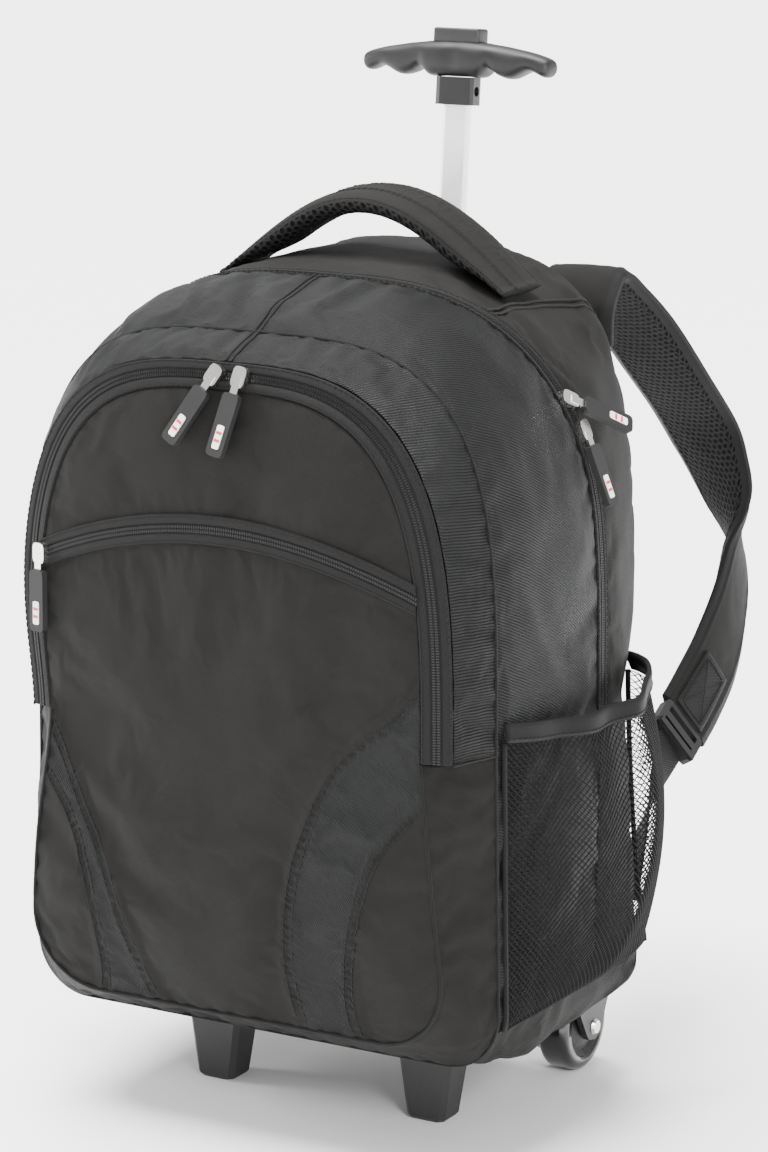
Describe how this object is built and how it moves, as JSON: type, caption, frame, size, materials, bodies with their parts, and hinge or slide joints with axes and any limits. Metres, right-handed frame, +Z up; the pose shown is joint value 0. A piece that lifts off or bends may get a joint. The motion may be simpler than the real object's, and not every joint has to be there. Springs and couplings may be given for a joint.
{
  "type": "wheeled backpack",
  "caption": "Black wheeled backpack, zipped shut, with a T-grip pole partly drawn out, net side pockets, padded shoulder straps, front feet and rear wheels.",
  "frame": {"origin": "middle of the footprint of the whole, on the floor", "axes": "+X to the right as the front is looked at, +Y from the front to the straps, +Z up"},
  "size_m": [0.3778, 0.4723, 0.621],
  "materials": {
    "aluminium": "satin anodised",
    "enamel": "white with red marks",
    "net": "open knitted net",
    "plastic": "moulded, fine satin",
    "polyester": "plain weave, matt",
    "rubber": "moulded, matt",
    "steel": "bright plated",
    "tape": "woven tape, slight sheen",
    "twill": "fine diagonal twill, slight sheen"
  },
  "bodies": {
    "bag": {"main_gusset": "twill", "rear_body": "polyester", "base_panel": "polyester", "front_gusset": "twill", "lower_gusset": "polyester", "divider_panel": "polyester", "back_panel": "polyester", "front_panel_upper": "polyester", "curved_panel_right": "twill", "corner_panel_right": "polyester", "curved_panel_left": "twill", "corner_panel_left": "polyester", "front_panel_lower": "polyester", "face_zip": "tape", "front_zip": "tape", "main_zip": "tape", "carry_handle": "polyester", "slider_1": "steel", "pull_1": "rubber", "pull_inset_1": "enamel", "slider_2": "steel", "pull_2": "rubber", "pull_inset_2": "enamel", "slider_3": "steel", "pull_3": "rubber", "pull_inset_3": "enamel", "slider_4": "steel", "pull_4": "rubber", "pull_inset_4": "enamel", "slider_5": "steel", "pull_5": "rubber", "pull_inset_5": "enamel", "pole_guide": "aluminium", "strap_left": "polyester", "buckle_left": "plastic", "webbing_left": "tape", "net_pocket_left": "net", "pocket_band_left": "tape", "foot_left": "plastic", "wheel_housing_left": "plastic", "axle_left": "steel", "strap_right": "polyester", "buckle_right": "plastic", "webbing_right": "tape", "net_pocket_right": "net", "pocket_band_right": "tape", "foot_right": "plastic", "wheel_housing_right": "plastic", "axle_right": "steel"},
    "handle": {"pole": "aluminium", "collar": "plastic", "grip": "plastic"},
    "button_body": {"button": "plastic"},
    "wheel_left_body": {"tyre_left": "rubber", "hub_left": "plastic"},
    "wheel_right_body": {"tyre_right": "rubber", "hub_right": "plastic"}
  },
  "joints": [
    {"name": "pole_slide", "type": "slide", "parent": "bag", "child": "handle", "axis": [0, 0.0916, 0.9958], "range_m": [-0.075, 0.285]},
    {"name": "button_press", "type": "slide", "parent": "handle", "child": "button_body", "axis": [0, 0.0916, 0.9958], "range_m": [-0.004, 0], "stiffness_N_per_m": 900, "springref_m": 0.001},
    {"name": "wheel_left_turn", "type": "hinge", "parent": "bag", "child": "wheel_left_body", "pos_m": [-0.10405, 0.00419, 0.028], "axis": [1, 0, 0], "continuous": true},
    {"name": "wheel_right_turn", "type": "hinge", "parent": "bag", "child": "wheel_right_body", "pos_m": [0.10405, 0.00419, 0.028], "axis": [1, 0, 0], "continuous": true}
  ]
}
